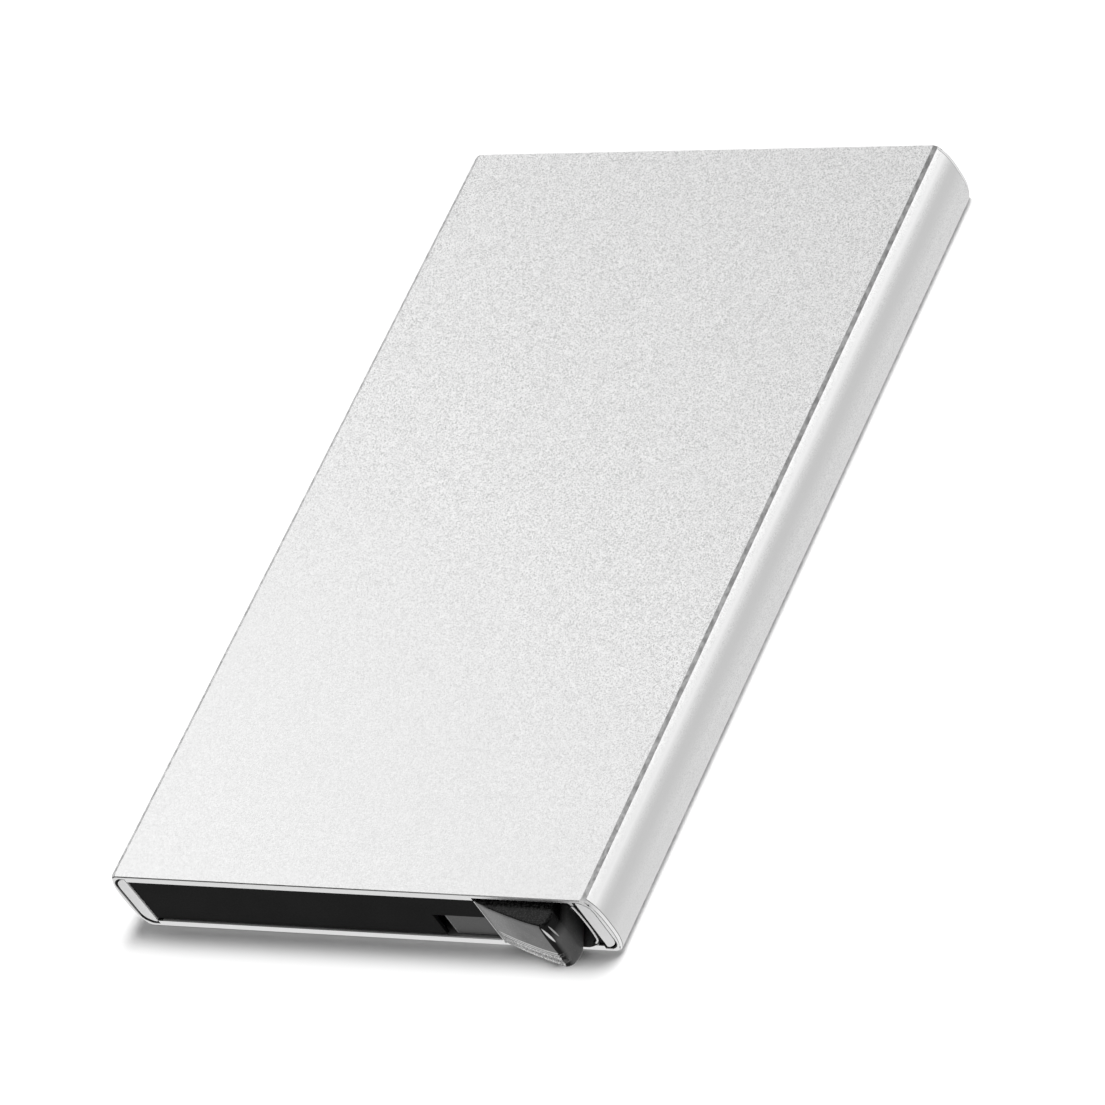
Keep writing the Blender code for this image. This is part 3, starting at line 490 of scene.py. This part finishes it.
def aluminium():
    """Sand-blasted and anodised, with painted light and shade: lit and shaded side bands, a darker
    reflection on the facets, shade on the front breaks and rail channels, highlights on the side
    breaks and cut ends, and edges partly worn and partly highlighted.
    """
    paint = Paint("sand_blasted_aluminium")
    upward = paint.absolute(paint.looks()["Z"])
    outward = paint.absolute(paint.looks("True Normal")["Y"])
    edges = paint.edges()
    grain = paint.noise(BLAST_GRAIN, detail=3, roughness=0.6)
    slant = paint.maths("ADD", paint.along("Y"), paint.product(paint.along("X"), FADE_SLANT))
    fade = paint.spread(slant, FADE_START, FADE_END, FADE_LEAST, 1)
    fade = paint.product(fade, paint.spread(upward, *FACE_LOOK, FADE_SIDES, 1))
    tone = painted_side_bands(paint, upward, blasted(paint, grain, fade))
    # Brighter edges: partly wear, partly a painted highlight.
    tone = paint.blend(paint.product(edges, EDGE_SHARE), tone, EDGE_GREY)
    tone = broken(paint, outward, faceted(paint, upward, tone))
    # Painted shade in the rail channels.
    tone = paint.blend(channel(paint), tone, CHANNEL_SHADE_GREY)
    # Painted highlight on the cut ends, brightest at their edges.
    rim = paint.spread(outward, *RIM_LOOK)
    tone = paint.blend(rim, tone, paint.blend(edges, RIM_GREY, RIM_EDGE_GREY))
    rough = paint.spread(grain, *SOFT_NOISE, *BLAST_ROUGHNESS)
    normal = paint.bump(grain, BLAST_DEPTH, paint.product(fade, BLAST_BUMP))
    return paint.set(base_color=tone, metallic=1.0, roughness=rough, normal=normal).material


def moulding(paint, tone, roughness, shine):
    """Finishes a plastic or rubber with its spark-eroded grain."""
    grain = paint.noise(MOULD_GRAIN)
    low = roughness - ROUGHNESS_PLAY
    high = roughness + ROUGHNESS_PLAY
    rough = paint.spread(grain, *SOFT_NOISE, low, high)
    paint.set(base_color=tone, roughness=rough, normal=paint.bump(grain, MOULD_DEPTH))
    return paint.set(specular_ior_level=shine).material


def clouded(paint, dark, light):
    """A slight cloud in the colour of a moulding."""
    return paint.blend(paint.spread(paint.noise(SMALL_CLOUD), *HARD_NOISE), dark, light)


def worn_and_highlit(paint, tone, bright):
    """Bright edges, partly wear and partly a painted highlight, broken up by fine noise."""
    wear_and_highlight_patches = paint.spread(paint.noise(MOULD_GRAIN), *EDGE_PATCH_NOISE)
    return paint.blend(paint.product(paint.edges(), wear_and_highlight_patches), tone, bright)


def light_plastic():
    paint = Paint("light_grey_plastic")
    tone = worn_and_highlit(paint, clouded(paint, dark=0.92, light=0.97), bright=1.0)
    return moulding(paint, tone, roughness=0.45, shine=0.5)


def black_plastic():
    """Matt black, with painted shade making it deeper black in the pocket and the slot than on the
    outer face.
    """
    paint = Paint("matt_black_plastic")
    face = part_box("end_cap")[0].y + PLATE_LIT
    inside = paint.spread(paint.along("Y"), face, face + PLATE_LIT)
    tone = paint.blend(inside, clouded(paint, dark=0.005, light=0.007), POCKET_SHADE_BLACK)
    return moulding(paint, tone, roughness=0.6, shine=0.045)


def lever_plastic():
    """Satin grey, with a painted highlight on the rounded left edge of the skirt."""
    paint = Paint("grey_lever_plastic")
    tone = worn_and_highlit(paint, clouded(paint, dark=0.018, light=0.024), bright=0.2)
    rounded = paint.spread(paint.looks()["X"], *SKIRT_EDGE_LOOK)
    tone = paint.blend(rounded, tone, SKIRT_HIGHLIGHT_GREY)
    return moulding(paint, tone, roughness=0.35, shine=0.5)


def ribbed(paint, looks, patches, tone):
    """Painted light on the upper and painted shade on the lower flanks of the ribs on the ramp,
    with two unbroken fine lines.
    """
    height = paint.along("Z")
    ribs = paint.product(
        paint.spread(height, RIB_TOP + FLAT, RIB_TOP),
        paint.spread(looks["X"], *RIB_LEFT_LOOK),
        paint.spread(looks["Y"], *RIB_OUT_LOOK),
    )
    whole = paint.spread(height, LINE_FOOT, LINE_FOOT + FLAT)
    share = paint.maths("MAXIMUM", paint.spread(patches, *RIB_NOISE, RIB_LEAST, 1), whole)
    upper = paint.product(ribs, paint.spread(looks["Z"], *RIB_UPPER_LOOK), share)
    lower = paint.product(ribs, paint.spread(looks["Z"], *RIB_LOWER_LOOK))
    return paint.blend(lower, paint.blend(upper, tone, RIB_LIGHT), RIB_DARK)


def gloss_plastic():
    """Thumb cap, with painted light and shade: dark front, lighter side and ramp, painted
    highlight on the left edge, and a painted dark line and painted highlights at its crease.
    """
    paint = Paint("gloss_black_plastic")
    looks = paint.looks("True Normal")
    patches = paint.noise(MOULD_GRAIN, detail=3)
    tone = clouded(paint, dark=0.002, light=0.006)
    # Painted light and shade by where the surface looks: front, tip side and ramp.
    front = paint.spread(looks["Z"], *CAP_FRONT_LOOK)
    front = paint.product(front, paint.spread(patches, *FRONT_NOISE))
    tone = paint.blend(front, tone, CAP_FRONT_GREY)
    side = paint.spread(looks["X"], *CAP_SIDE_LOOK)
    side = paint.product(side, paint.spread(paint.along("Z"), TIP_TOP, TIP_MIDDLE))
    tone = paint.blend(side, tone, clouded(paint, dark=0.09, light=0.13))
    ramp = paint.spread(looks["X"], *RAMP_LEFT_LOOK)
    ramp = paint.product(ramp, paint.spread(looks["Y"], *RAMP_OUT_LOOK))
    tone = paint.blend(ramp, tone, clouded(paint, dark=0.17, light=0.24))
    tone = worn_and_highlit(paint, ribbed(paint, looks, patches, tone), bright=0.3)
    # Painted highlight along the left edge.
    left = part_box("thumb_cap")[0].x + LEFT_EDGE_WIDTH
    tone = paint.blend(paint.spread(paint.along("X"), left + FLAT, left), tone, LEFT_EDGE_HIGHLIGHT_GREY)
    # Painted dark line and painted highlights at the crease.
    for start, end, width, shade in CREASE_LIGHT_AND_SHADE:
        tone = paint.blend(paint.lens(start, end, width), tone, shade)
    return moulding(paint, tone, roughness=0.24, shine=0.12)


def rubber():
    paint = Paint("strip_rubber")
    tone = worn_and_highlit(paint, clouded(paint, dark=0.016, light=0.024), bright=0.05)
    return moulding(paint, tone, roughness=0.8, shine=0.3)


def steel():
    """Plain steel with fine marks round its upright axis."""
    paint = Paint("plain_steel")
    scratch = paint.noise(SCRATCH, detail=3, vector=paint.scaled(SCRATCH_SCALE))
    tone = paint.blend(scratch, STEEL_DARK, STEEL_LIGHT)
    tone = paint.blend(paint.edges(), tone, STEEL_EDGE)
    rough = paint.spread(scratch, *SOFT_NOISE, *STEEL_ROUGHNESS)
    normal = paint.bump(scratch, SCRATCH_DEPTH)
    return paint.set(base_color=tone, metallic=1.0, roughness=rough, normal=normal).material


def smoothing(name, angle):
    """Node group that joins a mesh's faces and smooths all edges but the sharp ones."""
    group = bpy.data.node_groups.new(name, "GeometryNodeTree")
    for side in ("INPUT", "OUTPUT"):
        group.interface.new_socket("Geometry", in_out=side, socket_type="NodeSocketGeometry")
    nodes = group.nodes
    links = group.links
    start = nodes.new("NodeGroupInput")
    plain = nodes.new("GeometryNodeRemoveAttribute")
    plain.inputs["Name"].default_value = "custom_normal"
    weld = nodes.new("GeometryNodeMergeByDistance")
    weld.inputs["Distance"].default_value = WELD
    soft = nodes.new("GeometryNodeSetShadeSmooth")
    edge = nodes.new("GeometryNodeInputMeshEdgeAngle")
    sharp = nodes.new("FunctionNodeCompare")
    sharp.data_type = "FLOAT"
    sharp.operation = "GREATER_THAN"
    sharp.inputs["B"].default_value = angle
    crisp = nodes.new("GeometryNodeSetShadeSmooth")
    crisp.domain = "EDGE"
    crisp.inputs["Shade Smooth"].default_value = False
    end = nodes.new("NodeGroupOutput")
    chain = (start, plain, weld, soft, crisp, end)
    for near, far in zip(chain, chain[1:]):
        links.new(near.outputs["Geometry"], far.inputs["Geometry"])
    links.new(edge.outputs["Unsigned Angle"], sharp.inputs["A"])
    links.new(sharp.outputs["Result"], crisp.inputs["Selection"])
    return group


def dress(node, material, group):
    """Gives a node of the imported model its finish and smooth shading."""
    piece = frame["nodes"][node]
    for slot in piece.material_slots:
        slot.material = material
    piece.modifiers.new("smooth", "NODES").node_group = group


def ring_piece(name, rings, body, material, replaced=None):
    """A closed piece drawn over rings of points, riding on a body if one is given."""
    shape = bmesh.new()
    corners = [[shape.verts.new(point) for point in ring] for ring in rings]
    for near, far in zip(corners, corners[1:]):
        for i, corner in enumerate(near):
            shape.faces.new((near[i - 1], corner, far[i], far[i - 1]))
    shape.faces.new(reversed(corners[0]))
    shape.faces.new(corners[-1])
    bmesh.ops.recalc_face_normals(shape, faces=shape.faces)
    mesh = bpy.data.meshes.new(name)
    shape.to_mesh(mesh)
    shape.free()
    mesh.materials.append(material)
    mesh.shade_smooth()
    mesh.set_sharp_from_angle(angle=OTHER_EDGE)
    piece = bpy.data.objects.new(name, mesh)
    bpy.context.scene.collection.objects.link(piece)
    if body:
        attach(piece, body)
    if replaced:
        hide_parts(replaced)
    return piece


def tube(points, radius, sides):
    """Rings round a line of points, without twist."""
    rings = []
    across = None
    for i, point in enumerate(points):
        along = (points[min(i + 1, len(points) - 1)] - points[max(i - 1, 0)]).normalized()
        across = across or along.orthogonal()
        across = (across - along * across.dot(along)).normalized()
        over = along.cross(across)
        turns = [math.tau * k / sides for k in range(sides)]
        rings.append([point + (across * math.cos(t) + over * math.sin(t)) * radius for t in turns])
    return rings


def friction_strip(side, material):
    """Rubber strip with rounded ribs along it, and ends that run out into the rail."""
    node = "friction_strip_" + side
    low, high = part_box(node)
    sign = 1 if side == "right" else -1
    back = high.x if side == "right" else -low.x
    face = low.x if side == "right" else -high.x
    base = back - STRIP_SEAT
    steps = STRIP_RIBS * STRIP_RIB_STEPS
    last = STRIP_TAPER_STEPS * 2 + 1
    rings = []
    for i in range(last + 1):
        near = min(i, last - i) / STRIP_TAPER_STEPS
        out = math.sin(math.pi / 2 * near)
        y = low.y + STRIP_TAPER * near if i <= STRIP_TAPER_STEPS else high.y - STRIP_TAPER * near
        section = [(sign * back, y, high.z), (sign * back, y, low.z)]
        for k in range(steps + 1):
            hollow = STRIP_RIB_DEPTH * (1 + math.cos(math.tau * k / STRIP_RIB_STEPS)) / 2
            x = base - (base - face - hollow) * out
            section.append((sign * x, y, low.z + (high.z - low.z) * k / steps))
        rings.append(section)
    ring_piece(node + "_fine", rings, "case", material, node)


def return_spring(material):
    """Round wire: a leg on the lever, the coil round the pin, and a leg on the cover's post."""
    low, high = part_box("return_spring")
    pivot = Vector(frame["joints"][0]["pos_m"])
    foot = low.z + WIRE_RADIUS
    head = high.z - WIRE_RADIUS
    first = LEG_SIDE - MOVING_LEG_LIFT
    last = LEG_SIDE + math.tau * COIL_TURNS
    steps = COIL_TURNS * COIL_TURN_STEPS
    coil = []
    for i in range(steps + 1):
        turn = first + (last - first) * i / steps
        out = Vector((math.cos(turn), math.sin(turn), 0)) * COIL_RADIUS
        coil.append(Vector((*(pivot + out).xy, foot + (head - foot) * i / steps)))
    way = Vector((-math.sin(first), math.cos(first), 0)) * MOVING_LEG_LENGTH
    start = [coil[0] - way, coil[0] - way / 2]
    fixed = Vector((FIXED_LEG_LENGTH, 0, 0))
    end = [coil[-1] + fixed / 2, coil[-1] + fixed]
    rings = tube(start + coil + end, WIRE_RADIUS, WIRE_SIDES)
    spring = ring_piece("return_spring_fine", rings, None, material, "return_spring")
    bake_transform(spring)


def pocket_rim_highlight(material):
    """Thin light tube round the right side of the lever's pocket in the end plate, a painted
    highlight on its rim.
    """
    plate = frame["nodes"]["end_cap"]
    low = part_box("end_cap")[0]
    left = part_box("thumb_cap")[1].x
    least = low.z * POCKET_HIGHLIGHT_FRONT_SHARE
    places = [plate.matrix_world @ corner.co for corner in plate.data.vertices]
    face = [place for place in places if abs(place.y - low.y) < FLAT and place.x > left]
    right = max(place.x for place in face) - POCKET_HIGHLIGHT_BORDER
    front = min(place.z for place in face if place.x > right and place.z > least)
    pocket = [place for place in face if place.x < right and place.z < front]
    rim = {(round(place.z, POCKET_HIGHLIGHT_DECIMALS), place.x) for place in pocket}
    line = [Vector((x, low.y - POCKET_HIGHLIGHT_STAND, z)) for z, x in sorted(rim)]
    rings = tube(line, POCKET_HIGHLIGHT_RADIUS, POCKET_HIGHLIGHT_SIDES)
    ring_piece("pocket_rim_highlight", rings, "case", material)


def make_floor():
    """A pale floor. What the object mirrors of it has an even glow, without shadows."""
    shape = bmesh.new()
    bmesh.ops.create_grid(shape, x_segments=1, y_segments=1, size=FLOOR_SIZE / 2)
    mesh = bpy.data.meshes.new("floor")
    shape.to_mesh(mesh)
    shape.free()
    floor = bpy.data.objects.new("floor", mesh)
    floor.location.z = -FLOOR_GAP
    bpy.context.scene.collection.objects.link(floor)
    paint = Paint("pale_floor")
    seen = paint.add("ShaderNodeLightPath").outputs["Is Camera Ray"]
    tone = paint.blend(seen, 0, FLOOR_SEEN)
    corner = cad_bounds[1]
    beside = paint.maths("SUBTRACT", paint.absolute(paint.along("X")), corner[0])
    before = paint.maths("SUBTRACT", paint.absolute(paint.along("Y")), corner[1])
    away = paint.maths("MAXIMUM", beside, before)
    glow = paint.spread(away, 0, GLOW_REACH, GLOW_NEAR, GLOW_FAR)
    glow = paint.product(paint.maths("SUBTRACT", 1, seen), glow)
    paint.set(base_color=tone, roughness=FLOOR_ROUGHNESS, specular_ior_level=0.0)
    paint.set(emission_color=WHITE, emission_strength=glow)
    mesh.materials.append(paint.material)
    return floor


def make_softbox(name, place, target, size, radiance):
    width, height = size
    light = bpy.data.lights.new(name, "AREA")
    light.shape = "RECTANGLE"
    light.size = width
    light.size_y = height
    light.energy = radiance * math.pi * width * height
    lamp = bpy.data.objects.new(name, light)
    lamp.location = place
    lamp.rotation_mode = "QUATERNION"
    lamp.rotation_quaternion = (Vector(place) - Vector(target)).to_track_quat("Z", "Y")
    bpy.context.scene.collection.objects.link(lamp)
    return lamp


def linked(name, piece, state):
    """Collection that links a light to one piece alone, or to everything but that piece."""
    links = bpy.data.collections.new(name)
    links.objects.link(piece)
    links.collection_objects[0].light_linking.link_state = state
    return links


def make_light(floor):
    """An even sky, softboxes round the object, and a light for the floor alone.

    The thumb cap casts no shadow in the floor's light.
    """
    world = bpy.data.worlds.new("studio")
    bpy.context.scene.world = world
    world.use_nodes = True
    nodes = world.node_tree.nodes
    links = world.node_tree.links
    sky = nodes["Background"]
    sky.inputs["Color"].default_value = WHITE
    seen = nodes.new("ShaderNodeLightPath").outputs["Is Camera Ray"]
    strength = nodes.new("ShaderNodeMapRange")
    strength.inputs["To Min"].default_value = SKY_LIGHT
    strength.inputs["To Max"].default_value = SKY_SEEN
    links.new(seen, strength.inputs["Value"])
    links.new(strength.outputs["Result"], sky.inputs["Strength"])
    without_floor = linked("without_floor", floor, "EXCLUDE")
    for softbox in SOFTBOXES:
        make_softbox(*softbox).light_linking.receiver_collection = without_floor
    without_cap = linked("without_cap", frame["nodes"]["thumb_cap"], "EXCLUDE")
    linking = make_softbox(*FLOOR_LIGHT).light_linking
    linking.receiver_collection = linked("floor_alone", floor, "INCLUDE")
    linking.blocker_collection = without_cap


def make_camera():
    lens = bpy.data.cameras.new("camera")
    lens.lens = LENS
    lens.sensor_width = SENSOR
    camera = bpy.data.objects.new("camera", lens)
    back = (EYE - LOOKS_AT).normalized()
    turn = back.to_track_quat("Z", "Y").to_matrix() @ Matrix.Rotation(ROLL, 3, "Z")
    camera.matrix_world = Matrix.Translation(EYE) @ turn.to_4x4()
    bpy.context.scene.collection.objects.link(camera)
    bpy.context.scene.camera = camera


def main():
    plain_view()
    make_camera()
    make_light(make_floor())
    crisp = smoothing("smooth_sleeve", SLEEVE_EDGE)
    soft = smoothing("smooth_moulding", OTHER_EDGE)
    pale = light_plastic()
    black = black_plastic()
    soft_rubber = rubber()
    plain_steel = steel()
    dress("sleeve", aluminium(), crisp)
    for side in ("left", "right"):
        dress("side_rail_" + side, pale, crisp)
        dress("friction_strip_" + side, soft_rubber, soft)
        friction_strip(side, soft_rubber)
    dress("end_cap", black, soft)
    dress("mechanism_cover", black, soft)
    dress("eject_lever", lever_plastic(), soft)
    dress("thumb_cap", gloss_plastic(), soft)
    for place in ("left", "middle", "right"):
        dress("cover_screw_" + place, plain_steel, soft)
    dress("pivot_pin", plain_steel, soft)
    dress("return_spring", plain_steel, soft)
    return_spring(plain_steel)
    pocket_rim_highlight(pale)


main()
